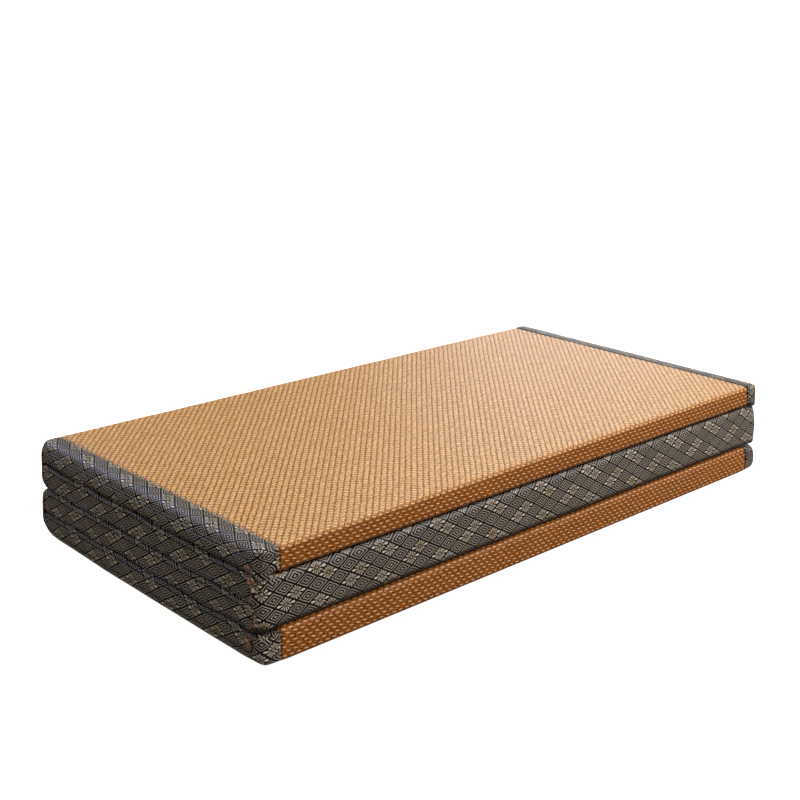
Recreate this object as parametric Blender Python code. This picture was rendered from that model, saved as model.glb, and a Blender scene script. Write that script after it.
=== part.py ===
"""A folding mat of four padded panels, folded back and forth into a stack.

Every panel is a filled pad faced with a woven mat. A brocade cap binds each of its short ends, and
brocade strips run over the long edges where two panels are joined: one in front, two behind.

Frame: X along the folds, Y from front to back, Z up. The origin is the middle of the base.
Sizes are in metres.
"""

import math
from collections import namedtuple

import bmesh
import bpy
import numpy as np

MM = 0.001

# Driving sizes of the folded mat
LENGTH = 900 * MM  # along the folds
DEPTH = 462 * MM  # from front to back
GAP = 0.3 * MM  # between pieces that touch
SKIN = 1.2 * MM  # thickness of the brocade, with its folded edge
BINDING_REACH = 28 * MM  # how far an end binding lies onto a panel's faces
FRONT_STRIP_RECESS = 0.5 * MM  # the front strip lies this far behind the top panel's edge
FLARE = 0.035  # the stack's sides lean out by this much for each unit of height, going down
FLARE_HEIGHT = 75 * MM  # where the sides have their nominal place

CORNER_ROUND = 12 * MM  # rounding in plan at a panel's four upright corners
LEAST_RADIUS = 0.8 * MM  # of any rounded edge that is drawn in
TURN_MARGIN = math.radians(2)  # a strip stops this short of the level of the panels' faces
STRIP_END_TURN = math.radians(72)  # how far a strip follows the rounding in plan at its ends
SHARP_FROM = math.radians(40)  # edges from this angle up are shaded sharp

# Mesh fineness
ARC_STEPS = 4  # of each rounded edge in a section across the panel
END_STEPS = 5  # of the rounding towards an end
TOP_POINTS = 3  # extra points over a panel's width, for its crown
BODY_STATIONS = 6  # sections between the two bindings

# One row for each panel, from the base up. Heights and rounding radii are in millimetres.
# front, back: "free" where the woven mat wraps the edge, "strip" where a hinge strip covers it.
# end_low, end_top: rounding of the short ends. The four others: rounding of the long edges.
Panel = namedtuple("Panel", "name height crown front back end_low end_top "
                            "front_low front_top back_low back_top")
PANELS = (
    Panel("panel_4", 38.0, 0.0, "free", "strip", 14, 4.5, 7, 4, 18, 4),
    Panel("panel_3", 30.6, 0.0, "strip", "strip", 4.5, 6, 6, 4, 4, 12),
    Panel("panel_2", 30.6, 0.0, "strip", "strip", 6, 4.5, 4, 6, 12, 4),
    Panel("panel_1", 30.6, 1.2, "free", "strip", 4.5, 12, 4, 6, 4, 7),
)

# A box with rounded edges that a panel or a strip follows
Form = namedtuple("Form", "low top front back end crown end_low end_top "
                          "front_low front_top back_low back_top")

Finish = namedtuple("Finish", "name colour roughness")
WOVEN_MAT = Finish("woven_mat", (0.52, 0.32, 0.15, 1.0), 0.55)
BROCADE = Finish("brocade", (0.085, 0.075, 0.06, 1.0), 0.6)


def clear_scene():
    for thing in list(bpy.data.objects):
        bpy.data.objects.remove(thing, do_unlink=True)


def material(finish):
    """The plain finish of one kind of cloth."""
    made = bpy.data.materials.get(finish.name)
    if made is None:
        made = bpy.data.materials.new(finish.name)
        made.use_nodes = True
        shader = made.node_tree.nodes["Principled BSDF"]
        shader.inputs["Base Color"].default_value = finish.colour
        shader.inputs["Roughness"].default_value = finish.roughness
        shader.inputs["Metallic"].default_value = 0.0
        made.diffuse_color = finish.colour
    return made


def stacked_forms():
    """The rounded box of each panel by name, stacked from the base up with a gap between them."""
    forms = {}
    low = 0.0
    strip_room = SKIN + GAP
    for p in PANELS:
        top = low + p.height * MM
        front = -DEPTH / 2 + (strip_room + FRONT_STRIP_RECESS if p.front == "strip" else 0.0)
        back = DEPTH / 2 - (strip_room if p.back == "strip" else 0.0)
        radii = [r * MM for r in p[5:]]
        forms[p.name] = Form(low, top, front, back, LENGTH / 2, p.crown * MM, *radii)
        low = top + GAP
    return forms


def fall(radius, end, x):
    """How far a rounding of this radius has fallen away at x, before an end at x = end."""
    into = np.clip(abs(x) - (end - radius), 0.0, radius)
    return radius - math.sqrt(max(radius * radius - into * into, 0.0))


def narrowed(form, x, inset):
    """The form's section at x, drawn in by inset all round: its four sides and four radii."""
    end = form.end - inset
    side = fall(CORNER_ROUND - inset, end, x)
    low = form.low + inset + fall(max(form.end_low - inset, LEAST_RADIUS), end, x)
    top = form.top - inset - fall(max(form.end_top - inset, LEAST_RADIUS), end, x)
    radii = [max(r - inset, LEAST_RADIUS) for r in form[8:]]
    return low, top, form.front + inset + side, form.back - inset - side, radii


def arc(y, z, radius, start, stop, steps):
    """Points on an arc about (y, z), as rows of y and z."""
    turn = np.linspace(start, stop, steps + 1)
    return np.stack([y + radius * np.cos(turn), z + radius * np.sin(turn)], axis=1)


def flared(points):
    """The points with the stack's lean: wider than nominal below FLARE_HEIGHT, narrower above."""
    lean = FLARE * (FLARE_HEIGHT - points[:, 2])
    out = points.copy()
    out[:, 0] += lean * points[:, 0] / (LENGTH / 2)
    out[:, 1] += lean * points[:, 1] / (DEPTH / 2)
    return out


def at_station(x, section):
    """A section's rows of y and z as points in space at x."""
    return flared(np.column_stack([np.full(len(section), x), section]))


def ring(form, x, inset=0.0, crown_points=0):
    """The whole section of a form at x: a rectangle with four rounded corners."""
    low, top, front, back, (front_low, front_top, back_low, back_top) = narrowed(form, x, inset)
    quarter = math.pi / 2
    rows = [
        arc(front + front_low, low + front_low, front_low, 2 * quarter, 3 * quarter, ARC_STEPS),
        arc(back - back_low, low + back_low, back_low, 3 * quarter, 4 * quarter, ARC_STEPS),
        arc(back - back_top, top - back_top, back_top, 0.0, quarter, ARC_STEPS),
        arc(front + front_top, top - front_top, front_top, quarter, 2 * quarter, ARC_STEPS),
    ]
    if crown_points:
        share = np.arange(1, crown_points + 1) / (crown_points + 1)
        across = back - back_top + share * (front + front_top - back + back_top)
        along = 1 - (x / form.end) ** 2
        rise = form.crown * along * (1 - (2 * share - 1) ** 2)
        rows.insert(3, np.column_stack([across, top + rise]))
    return at_station(x, np.concatenate(rows))


def end_stations(end, start, radius):
    """Places along X from start to an end, close together where a rounding of this radius falls."""
    turn = np.linspace(0.0, math.pi / 2, END_STEPS + 1)
    return [start, *(end - radius * (1 - np.sin(turn)))]


def solid(name, vertices, faces, finish):
    """A closed mesh as an object with its material, its faces turned outwards."""
    mesh = bpy.data.meshes.new(name)
    mesh.from_pydata([tuple(v) for v in vertices], [], faces)
    work = bmesh.new()
    work.from_mesh(mesh)
    bmesh.ops.recalc_face_normals(work, faces=work.faces)
    work.to_mesh(mesh)
    work.free()
    mesh.shade_smooth()
    mesh.set_sharp_from_angle(angle=SHARP_FROM)
    mesh.materials.append(material(finish))
    made = bpy.data.objects.new(name, mesh)
    bpy.context.scene.collection.objects.link(made)
    return made


def lofted(rings):
    """Faces that join rings of equal length, one after the other, without the end caps."""
    count = len(rings[0])
    faces = []
    for i in range(len(rings) - 1):
        for j in range(count):
            after = (j + 1) % count
            faces.append((i * count + j, i * count + after,
                          (i + 1) * count + after, (i + 1) * count + j))
    return faces


def make_panel(name, form):
    """A pad: full between the bindings, drawn in under each of them, rounded at both ends."""
    under = SKIN + GAP
    shoulder = LENGTH / 2 - BINDING_REACH - GAP
    tongue = end_stations(form.end - under, shoulder, CORNER_ROUND - under)
    rings = [ring(form, -x, under, TOP_POINTS) for x in reversed(tongue)]
    rings += [ring(form, x, 0.0, TOP_POINTS) for x in np.linspace(-shoulder, shoulder, BODY_STATIONS)]
    rings += [ring(form, x, under, TOP_POINTS) for x in tongue]
    count = len(rings[0])
    last = (len(rings) - 1) * count
    faces = lofted(rings)
    faces.append(tuple(range(count)))
    faces.append(tuple(range(last, last + count)))
    return solid(name, np.concatenate(rings), faces, WOVEN_MAT)


def make_end_binding(name, form, side):
    """A brocade cap over one short end: an outer and an inner rounded shell, joined at the edge."""
    edge = LENGTH / 2 - BINDING_REACH
    outer = [ring(form, side * x) for x in end_stations(form.end, edge, CORNER_ROUND)]
    inner = [ring(form, side * x, SKIN)
             for x in end_stations(form.end - SKIN, edge, CORNER_ROUND - SKIN)]
    count = len(outer[0])
    shells = outer[::-1] + inner
    faces = lofted(shells)
    last = (len(shells) - 1) * count
    faces.append(tuple(range(count)))
    faces.append(tuple(range(last, last + count)))
    return solid(name, np.concatenate(shells), faces, BROCADE)


def strip_section(form, x, inset, face):
    """The part of a form's section that a strip covers: one long side and its two rounded edges."""
    low, top, front, back, (front_low, front_top, back_low, back_top) = narrowed(form, x, inset)
    half = math.pi
    if face == "front":
        body_low, body_top = form.front_low, form.front_top
    else:
        body_low, body_top = form.back_low, form.back_top
    # The strip's outside may not pass the level of the panels' faces
    turn_low = math.asin(body_low / (body_low + SKIN + GAP)) - TURN_MARGIN
    turn_top = math.asin(body_top / (body_top + SKIN + GAP)) - TURN_MARGIN
    if face == "front":
        upper = arc(front + front_top, top - front_top, front_top, half - turn_top, half, ARC_STEPS)
        lower = arc(front + front_low, low + front_low, front_low, half, half + turn_low, ARC_STEPS)
    else:
        upper = arc(back - back_top, top - back_top, back_top, turn_top, 0.0, ARC_STEPS)
        lower = arc(back - back_low, low + back_low, back_low, 0.0, -turn_low, ARC_STEPS)
    return at_station(x, np.concatenate([upper, lower]))


def make_hinge_strip(name, upper, lower, face):
    """A brocade strip over the edges of two panels, turned a little round the corners at its ends."""
    form = Form(lower.low, upper.top, upper.front, upper.back, upper.end, 0.0,
                lower.end_low, upper.end_top, lower.front_low, upper.front_top,
                lower.back_low, upper.back_top)
    sheets = []
    for inset in (-GAP - SKIN, -GAP):
        radius = CORNER_ROUND - inset
        turn = np.linspace(0.0, STRIP_END_TURN, END_STEPS + 1)
        places = form.end - inset - radius * (1 - np.sin(turn))
        stations = [*(-places[::-1]), 0.0, *places]
        sheets.append([strip_section(form, x, inset, face) for x in stations])
    outer, inner = (np.array(s) for s in sheets)
    rows, across = outer.shape[:2]
    vertices = np.concatenate([outer.reshape(-1, 3), inner.reshape(-1, 3)])
    faces = []
    for sheet in (0, rows * across):
        for i in range(rows - 1):
            for j in range(across - 1):
                a = sheet + i * across + j
                faces.append((a, a + 1, a + across + 1, a + across))
    rim = list(range(across))
    rim += [i * across + across - 1 for i in range(1, rows)]
    rim += [(rows - 1) * across + j for j in range(across - 2, -1, -1)]
    rim += [i * across for i in range(rows - 2, 0, -1)]
    for k, a in enumerate(rim):
        b = rim[(k + 1) % len(rim)]
        faces.append((a, b, b + rows * across, a + rows * across))
    return solid(name, vertices, faces, BROCADE)


def main():
    clear_scene()
    forms = stacked_forms()
    for name, form in forms.items():
        number = name.rsplit("_", 1)[1]
        make_panel(name, form)
        make_end_binding(f"end_binding_{number}_left", form, -1)
        make_end_binding(f"end_binding_{number}_right", form, 1)
    make_hinge_strip("hinge_strip_front", forms["panel_2"], forms["panel_3"], "front")
    make_hinge_strip("hinge_strip_back_upper", forms["panel_1"], forms["panel_2"], "back")
    make_hinge_strip("hinge_strip_back_lower", forms["panel_3"], forms["panel_4"], "back")


main()
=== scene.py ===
"""A folding tatami mat in its stack: woven rush covers over four pads, brocade bindings and hinges.

Every shape is a surface worked out on a grid of two parameters. All sizes are in metres, in the
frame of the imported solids: X along the folds, Y from front to back, Z up.
"""

import math
from collections import namedtuple

import bpy
import numpy as np
from mathutils import Matrix, Vector


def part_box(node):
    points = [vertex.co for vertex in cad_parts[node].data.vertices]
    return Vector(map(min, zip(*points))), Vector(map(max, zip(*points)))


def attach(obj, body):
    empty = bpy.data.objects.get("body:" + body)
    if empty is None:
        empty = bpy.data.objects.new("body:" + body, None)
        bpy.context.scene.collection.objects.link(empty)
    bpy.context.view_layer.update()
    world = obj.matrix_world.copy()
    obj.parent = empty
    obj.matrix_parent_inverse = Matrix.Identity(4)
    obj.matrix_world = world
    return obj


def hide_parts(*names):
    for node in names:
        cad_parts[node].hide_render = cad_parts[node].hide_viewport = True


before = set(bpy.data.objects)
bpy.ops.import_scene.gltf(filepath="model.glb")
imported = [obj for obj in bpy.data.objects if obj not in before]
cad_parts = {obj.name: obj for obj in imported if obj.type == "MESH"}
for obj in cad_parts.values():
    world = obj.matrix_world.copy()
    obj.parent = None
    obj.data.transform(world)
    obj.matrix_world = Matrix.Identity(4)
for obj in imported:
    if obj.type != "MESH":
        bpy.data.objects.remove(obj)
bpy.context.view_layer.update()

bl_info = {
    "name": "Folded tatami mat",
    "version": (1, 0, 0),
    "blender": (4, 5, 0),
    "location": "3D View > Sidebar > Tatami",
    "description": "Dresses the solids of a folded tatami mat in woven rush and brocade",
    "category": "Add Mesh",
}

MM = 0.001
QUARTER = math.pi / 2


# ---------------------------------------------------------------------------------------------
# Sizes and colours that a user would change
# ---------------------------------------------------------------------------------------------

def linear(code):
    """An sRGB hex colour as linear red, green, blue and alpha."""
    parts = [int(code[i:i + 2], 16) / 255 for i in (0, 2, 4)]
    return tuple(c / 12.92 if c <= 0.04045 else ((c + 0.055) / 1.055) ** 2.4 for c in parts) + (1.0,)


def size(name, description, default):
    """A length property in metres."""
    return bpy.props.FloatProperty(name=name, description=description, default=default,
                                   subtype="DISTANCE", unit="LENGTH", precision=5)


def colour(name, description, code):
    """A colour property with its default from an sRGB hex code."""
    return bpy.props.FloatVectorProperty(name=name, description=description, default=linear(code),
                                         subtype="COLOR", size=4, min=0.0, max=1.0)


class TatamiSizes(bpy.types.PropertyGroup):
    """The mat's driving sizes. Those of the solids repeat the values that they were built from."""

    length: size("Length", "Along the folds", 900 * MM)
    depth: size("Depth", "From front to back", 462 * MM)
    lean: bpy.props.FloatProperty(
        name="Lean", description="How far the sides lean out for each unit of height, going down",
        default=0.035)
    lean_height: size("Lean height", "Where the sides have their nominal place", 75 * MM)
    corner: size("Corner", "Rounding in plan at a pad's upright corners", 12 * MM)
    cloth: size("Cloth", "Thickness of the brocade with its folded edge", 1.2 * MM)
    gap: size("Gap", "Between pieces that touch", 0.3 * MM)
    recess: size("Recess", "The front strip's top lies this far behind the pads' front", 2.6 * MM)
    stand: size("Stand", "How much further out than its top the front strip's foot stands", 3.6 * MM)
    reach: size("Binding reach", "How far an end binding lies onto a pad's faces", 28 * MM)
    seam: size("Seam", "Width of the sewn groove between rush and binding", 0.9 * MM)
    groove: size("Groove", "Depth of the sewn groove between rush and binding", 0.6 * MM)
    joint: size("Joint", "How far each binding draws in where two pads lie together", 1.7 * MM)
    weft: size("Weft pitch", "Between two rows of rush", 5.15 * MM)
    warp: size("Warp pitch", "Between two cords that the rush passes over and under", 4.8 * MM)
    relief: size("Relief", "Height of the slanting ribs over the furrows", 0.4 * MM)
    diamond_width: size("Diamond half width", "Half of a brocade diamond along the strip", 14.72 * MM)
    diamond_height: size("Diamond half height", "Half of a brocade diamond across the strip", 8.8 * MM)


class TatamiColours(bpy.types.PropertyGroup):
    """The mat's colours."""

    # Painted highlight: the dashes' cream is the pale cord's colour with a painted highlight on it,
    # and the duller copy is taken by dashes at random
    rush_crest_highlight: colour("Rush crest", "The pale cord where it comes up", "FFEAC4")
    rush_dull_crest_highlight: colour("Worn crest", "The same on the dullest dashes", "FFD29A")
    rush_body: colour("Rush body", "The lacquered strands", "A65E18")
    # Painted light: the top is painted in this paler copy of the rush, as light falls on it
    rush_painted_light: colour("Faded rush", "Where daylight has bleached the top", "DBA96C")
    # Painted shade in the furrows between the ribs, on the sides and on the top
    rush_furrow_shade: colour("Rush gap", "The furrows between the ribs", "7C3E08")
    lit_top_furrow_shade: colour("Faded gap", "The furrows on the bleached top", "A05E20")
    brocade_ground: colour("Brocade ground", "The ground of the brocade", "050302")
    brocade_thread: colour("Brocade thread", "The concentric lines", "C0B7AD")
    brocade_petal: colour("Brocade petal", "The flowers' wide petals", "EEE6D8")
    brocade_gold: colour("Brocade gold", "Thread in some of the flowers", "B39B55")
    hem: colour("Hem", "Raw edge of the brocade at the corners", "C08058")
    thread: colour("Sewing thread", "The thread along the bindings", "F6E8DC")
    thread_shade: colour("Thread shade", "Between the thread's twists", "B49A80")
    floor: colour("Floor", "The studio floor", "F4F4F2")
    floor_mottle: colour("Floor mottle", "The floor's faint clouds", "F0F0EE")


def sizes():
    return bpy.context.scene.tatami_sizes


def colours():
    return bpy.context.scene.tatami_colours


# ---------------------------------------------------------------------------------------------
# The stack's forms, as the solids have them
# ---------------------------------------------------------------------------------------------

# One row for each pad, numbered from the top. Sizes in millimetres: the crown's height, then the
# rounding of the short ends below and above, then that of the long edges.
Pad = namedtuple("Pad", "crown end_low end_top front_low front_top back_top back_low")
PADS = {
    1: Pad(1.2, 4, 12, 7, 6, 7, 4),
    2: Pad(0.0, 5, 4, 4, 7, 4, 13),
    3: Pad(0.0, 4, 5, 8, 4, 13, 4),
    4: Pad(0.0, 14, 4, 7, 6, 4, 18),
}
TOP_PAD, BASE_PAD = 1, 4
RUSH_SHOWS = (TOP_PAD, BASE_PAD)  # the two between them lie under the front strip
SIDES = {-1: "left", 1: "right"}

# A rounded box in metres. radii: front low, front top, back top, back low.
Form = namedtuple("Form", "low top front back end crown end_low end_top radii")
LEAST_RADIUS = 0.8 * MM  # of any rounded edge that is drawn in

# One row for each hinge strip: its upper and lower pad, its face, and where the brocade's repeat
# starts, along it and up, in millimetres
STRIPS = {
    "hinge_strip_front": (2, 3, "front", (-400.5, 90.6)),
    "hinge_strip_back_upper": (1, 2, "back", (20.0, 104.0)),
    "hinge_strip_back_lower": (3, 4, "back", (55.0, 36.0)),
}
# Where the repeat starts on each pad's end bindings: along the end and up, in millimetres
REPEAT_START = {1: (12.8, 105.8), 2: (7.8, 66.8), 3: (-44.4, 46.1), 4: (-11.7, 1.6)}
BINDING_EASE = 1.03  # the bindings are drawn tight along the ends, which narrows the diamonds there

# The bindings draw in at the joints between the pads, by this share more or less, in waves along
# the ends of 2 pi times this length
JOINT_VARIATION, JOINT_WAVE = 0.6, 17 * MM
# Covers and strips keep clear of them, by these multiples of the joint
COVER_CLEARANCE, STRIP_LOW_CLEARANCE, STRIP_TOP_CLEARANCE = 1.8, 0.9, 1.1

# How deep the cloth's soft hollows are
PAD_SWELL, BINDING_SWELL, STRIP_SWELL = 0.35 * MM, 0.3 * MM, 0.25 * MM

# How the stack has settled near its ends. The right end bulges by this much at these heights
BULGE_HEIGHTS = np.array([8, 18, 28, 38, 48, 58, 68, 88, 98, 118]) * MM
RIGHT_BULGE = np.array([5.8, 7.2, 5.8, 3.7, 1.0, 2.6, 6.0, 6.0, 5.2, 4.6]) * MM
LEFT_FOOT = 2.6 * MM  # the left end draws in at its foot, towards the back
# The joints wander up and down in waves: share, length in mm, phase, and phase for each metre of x
WANDER = 0.7 * MM
WAVES = ((1.0, 213, 1.0, 0), (0.7, 97, 0.0, 0), (0.5, 58, 2.0, 1))
WANDER_TOP = 130 * MM  # no wander on the floor, nor from this height up
# The joint at the back that no strip covers: its height, half its width, and how far it draws in
OPEN_JOINT, OPEN_HALF_WIDTH, OPEN_DEPTH = 69 * MM, 5 * MM, 2 * MM
OPEN_REACH = 25 * MM  # it opens over this length, up to the corner
# The corners sink most at these heights, over this reach up and down, by this much, in millimetres
SINKS = ((100, 31, 11), (38, 31, 4))
SINK_REACH_X, SINK_REACH_Y, SINK_FULL_Y = 28 * MM, 13 * MM, 1 * MM
# and those of the base lift, over this reach from the corner and below this height
LIFT, LIFT_REACH, LIFT_HEIGHT = 2 * MM, 45 * MM, 38 * MM


def pad_form(number):
    """The rounded box of one pad. Its height comes from the solid of its end binding."""
    s, p = sizes(), PADS[number]
    low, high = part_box(f"end_binding_{number}_left")
    room = s.cloth + s.gap
    front = -s.depth / 2 + (0.0 if number in RUSH_SHOWS else room + s.recess)
    back = s.depth / 2 - room
    return Form(low.z, high.z, front, back, s.length / 2, p.crown * MM,
                p.end_low * MM, p.end_top * MM, np.array(p[3:]) * MM)


def tuck():
    """How far a cover is drawn in where a binding or a strip lies over it."""
    s = sizes()
    return s.cloth + s.gap + COVER_CLEARANCE * s.joint


def ramp(value, low, high):
    """A straight ramp from 0 at low to 1 at high, which may lie below low."""
    return np.clip((value - low) / (high - low), 0.0, 1.0)


def smooth(value, low, high):
    """3 t^2 - 2 t^3 over the same ramp."""
    t = ramp(value, low, high)
    return t * t * (3 - 2 * t)


def bell(value, middle, width):
    """exp(-((value - middle) / width)^2)."""
    return np.exp(-((value - middle) / width) ** 2)


def fall(radius, end, x):
    """Drop of a quarter circle of this radius towards an end: r - sqrt(r^2 - into^2)."""
    into = np.clip(np.abs(x) - (end - radius), 0.0, radius)
    return radius - np.sqrt(np.maximum(radius * radius - into * into, 0.0))


def corner_sag(x, y, z):
    """How far the stack sinks near its upright corners, where the pads' soft corners hang over.

    Each of the two joints that the strips leave open at the front sinks by a cosine bump of the
    height around it, times a smooth step in from the corner along the end and along the side. The
    base lifts there in the same way, because the bottom pad's corners are drawn up.
    """
    end, side = sizes().length / 2, sizes().depth / 2
    near = (smooth(np.abs(x), end - SINK_REACH_X, end)
            * smooth(np.abs(y), side - SINK_REACH_Y, side - SINK_FULL_Y))
    sink = sum(most * MM * (1 + np.cos(math.pi * np.clip((z - at * MM) / (reach * MM), -1, 1))) / 2
               for at, reach, most in SINKS)
    broad = smooth(np.abs(x), end - LIFT_REACH, end) * smooth(np.abs(y), side - LIFT_REACH, side)
    return near * sink - LIFT * broad * (1 - smooth(z, 0.0, LIFT_HEIGHT))


def settled(points):
    """The stack as it lies. Every piece goes through this same field, so none meets another.

    x and y are scaled so that the sides lean out by the lean for each unit below lean_height. Near
    its ends the stack also bulges and draws in a little, and the pads' joints wander up and down
    by sines of y, times a sine of the height that holds the base and the top in place. The corners
    sag by corner_sag, and the open joint at the back draws in by a bell curve of the height.
    """
    s = sizes()
    end, side = s.length / 2, s.depth / 2
    x, y, z = points[..., 0], points[..., 1], points[..., 2]
    lean = s.lean * (s.lean_height - z)
    near_end = (np.abs(x) / end) ** 4
    right = np.interp(z, BULGE_HEIGHTS, RIGHT_BULGE)
    left = LEFT_FOOT * (1 - smooth(z, 0.0, 30 * MM)) * smooth(y, 60 * MM, 190 * MM)
    wander = sum(share * np.sin(2 * math.pi * y / (length * MM) + phase + skew * x)
                 for share, length, phase, skew in WAVES)
    notch = (OPEN_DEPTH * bell(z, OPEN_JOINT, OPEN_HALF_WIDTH)
             * smooth(y, side - OPEN_REACH, side) * smooth(np.abs(x), end - OPEN_REACH, end))
    moved = points.copy()
    moved[..., 0] += lean * x / end + near_end * np.where(x > 0, right, left) - notch * np.sign(x)
    moved[..., 1] += lean * y / side - notch
    moved[..., 2] += WANDER * near_end * wander * np.sin(math.pi * ramp(z, 0.0, WANDER_TOP))
    moved[..., 2] -= corner_sag(x, y, z)
    return moved


def ring_knots(form):
    """Arc lengths where the ring's nine pieces start, from the middle of the base round the front."""
    front_low, front_top, back_top, back_low = form.radii
    height = form.top - form.low
    runs = [-form.front - front_low, QUARTER * front_low,
            height - front_low - front_top, QUARTER * front_top,
            form.back - form.front - front_top - back_top, QUARTER * back_top,
            height - back_top - back_low, QUARTER * back_low,
            form.back - back_low]
    return np.concatenate([[0.0], np.cumsum(runs)])


def ring_points(form, x, inset, v):
    """A ring at each x: a rectangle with rounded corners, drawn in by inset, at arc lengths v.

    Straight runs are P = A + t (B - A), corners are centre + r (cos a, sin a). Both sides draw in
    towards the ends by the fall of their rounding, and the top rises by crown (1-(x/end)^2)(1-w^2),
    where w goes from -1 to 1 over it.
    """
    x = np.asarray(x, float)[:, None]
    inset = np.broadcast_to(np.asarray(inset, float), x.shape[:1])[:, None]
    end = form.end - inset
    side = fall(np.maximum(sizes().corner - inset, LEAST_RADIUS), end, x)
    low = form.low + inset + fall(np.maximum(form.end_low - inset, LEAST_RADIUS), end, x)
    top = form.top - inset - fall(np.maximum(form.end_top - inset, LEAST_RADIUS), end, x)
    front = form.front + inset + side
    back = form.back - inset - side
    front_low, front_top, back_top, back_low = (np.maximum(r - inset, LEAST_RADIUS)
                                                for r in form.radii)
    knots = ring_knots(form)
    piece = np.clip(np.searchsorted(knots, v, side="right") - 1, 0, 8)
    t = ((v - knots[piece]) / np.diff(knots)[piece])[None, :]
    runs = {
        0: ((0 * low, low), (front + front_low, low)),
        2: ((front, low + front_low), (front, top - front_top)),
        4: ((front + front_top, top), (back - back_top, top)),
        6: ((back, top - back_top), (back, low + back_low)),
        8: ((back - back_low, low), (0 * low, low)),
    }
    bends = {
        1: (front + front_low, low + front_low, front_low, 3 * QUARTER),
        3: (front + front_top, top - front_top, front_top, 2 * QUARTER),
        5: (back - back_top, top - back_top, back_top, QUARTER),
        7: (back - back_low, low + back_low, back_low, 0.0),
    }
    y = np.zeros((len(x), len(v)))
    z = np.zeros_like(y)
    for k, ((y0, z0), (y1, z1)) in runs.items():
        on = piece == k
        y[:, on] = y0 + (y1 - y0) * t[:, on]
        z[:, on] = z0 + (z1 - z0) * t[:, on]
    for k, (cy, cz, radius, start) in bends.items():
        on = piece == k
        turn = start - QUARTER * t[:, on]
        y[:, on] = cy + radius * np.cos(turn)
        z[:, on] = cz + radius * np.sin(turn)
    on = piece == 4
    z[:, on] += form.crown * (1 - (x / form.end) ** 2) * (1 - (2 * t[:, on] - 1) ** 2)
    return settled(np.stack([np.broadcast_to(x, y.shape), y, z], axis=-1))


# ---------------------------------------------------------------------------------------------
# Meshes from grids
# ---------------------------------------------------------------------------------------------

def spread(knots, steps):
    """Values from each knot up to the next one, so many for each stretch."""
    return np.concatenate([np.linspace(a, b, n, endpoint=False)
                           for a, b, n in zip(knots[:-1], knots[1:], steps)])


def grid_quads(rows, columns):
    """Quads of a grid of points, as (row, column) pairs of their four corners."""
    i, j = np.meshgrid(np.arange(rows - 1), np.arange(columns - 1), indexing="ij")
    i, j = i.ravel(), j.ravel()
    return (np.stack([i, i, i + 1, i + 1], axis=1), np.stack([j, j + 1, j + 1, j], axis=1))


def outward_normals(points, away, closed):
    """Unit normals of a grid of points, each on the side that its vector in `away` points to.

    A normal is the cross product of the surface's two tangents. Behind the last column of a closed
    grid the first one comes again.
    """
    grid = np.concatenate([points, points[:, :1]], axis=1) if closed else points
    n = np.cross(np.gradient(grid, axis=1), np.gradient(grid, axis=0))[:, :points.shape[1]]
    n /= np.maximum(np.linalg.norm(n, axis=-1, keepdims=True), 1e-12)
    return n * np.sign(np.sum(n * away, axis=-1, keepdims=True) + 1e-9)


def hollows(u, v, seed, scale=1.0):
    """How sewn cloth lies in, from about 0 down to -2: sines of 60 to 300 mm times scale, less 1."""
    rng = np.random.default_rng(seed)
    total = np.zeros(np.broadcast(u, v).shape)
    for length in (300, 190, 120, 80, 60):
        angle = rng.uniform(0, math.pi)
        wave = 2 * math.pi / (length * MM * scale)
        total += math.sqrt(length / 300) * np.sin(
            wave * (np.cos(angle) * u + np.sin(angle) * v) + rng.uniform(0, 2 * math.pi))
    return total / 3.2 - 1.0


def make_piece(name, vertices, faces, loop_uv, cloth, attributes=None):
    """A mesh object with a UV map in metres, its faces turned outwards, riding on the mat."""
    mesh = bpy.data.meshes.new(name)
    mesh.from_pydata(vertices.reshape(-1, 3).tolist(), [], faces)
    uv = mesh.uv_layers.new(name="cloth")
    uv.data.foreach_set("uv", np.asarray(loop_uv, np.float32).ravel())
    for label, values in (attributes or {}).items():
        layer = mesh.attributes.new(label, "FLOAT", "POINT")
        layer.data.foreach_set("value", np.asarray(values, np.float32).ravel())
    mesh.validate(clean_customdata=False)
    centres, areas = np.zeros(len(mesh.polygons) * 3), np.zeros(len(mesh.polygons))
    facing = np.zeros_like(centres)
    mesh.polygons.foreach_get("center", centres)
    mesh.polygons.foreach_get("normal", facing)
    mesh.polygons.foreach_get("area", areas)
    middle = np.array([0.0, 0.0, (vertices[..., 2].min() + vertices[..., 2].max()) / 2])
    outward = np.einsum("ij,ij->i", centres.reshape(-1, 3) - middle, facing.reshape(-1, 3))
    if (areas * outward).sum() < 0:
        mesh.flip_normals()
    mesh.shade_smooth()
    mesh.materials.append(cloth)
    piece = bpy.data.objects.new(name, mesh)
    bpy.context.scene.collection.objects.link(piece)
    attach(piece, "root")
    return piece


def thicken(piece, thickness):
    """Gives a surface the thickness of its cloth, inwards."""
    solidify = piece.modifiers.new("cloth thickness", "SOLIDIFY")
    solidify.thickness = thickness
    solidify.offset = -1.0
    solidify.use_rim = True


# ---------------------------------------------------------------------------------------------
# Materials
# ---------------------------------------------------------------------------------------------

# A map range that steps smoothly from 0 to 1 between two values, or between two given outputs
STEP = {"interpolation_type": "SMOOTHSTEP"}


def add(tree, kind, inputs=(), **settings):
    """Adds a node, sets its settings and fills its inputs with values, sockets or nodes.

    A node among the inputs stands for the first of its outputs that is in use.
    """
    made = tree.nodes.new("ShaderNode" + kind)
    for key, value in settings.items():
        setattr(made, key, value)
    for key, value in inputs.items() if isinstance(inputs, dict) else enumerate(inputs):
        if isinstance(value, bpy.types.Node):
            value = next(output for output in value.outputs if output.enabled)
        if isinstance(value, bpy.types.NodeSocket):
            tree.links.new(value, made.inputs[key])
        else:
            made.inputs[key].default_value = value
    return made


def emptied_tree(owner):
    """The node tree of a material or a world, with nothing in it."""
    owner.use_nodes = True
    owner.node_tree.nodes.clear()
    return owner.node_tree


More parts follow.
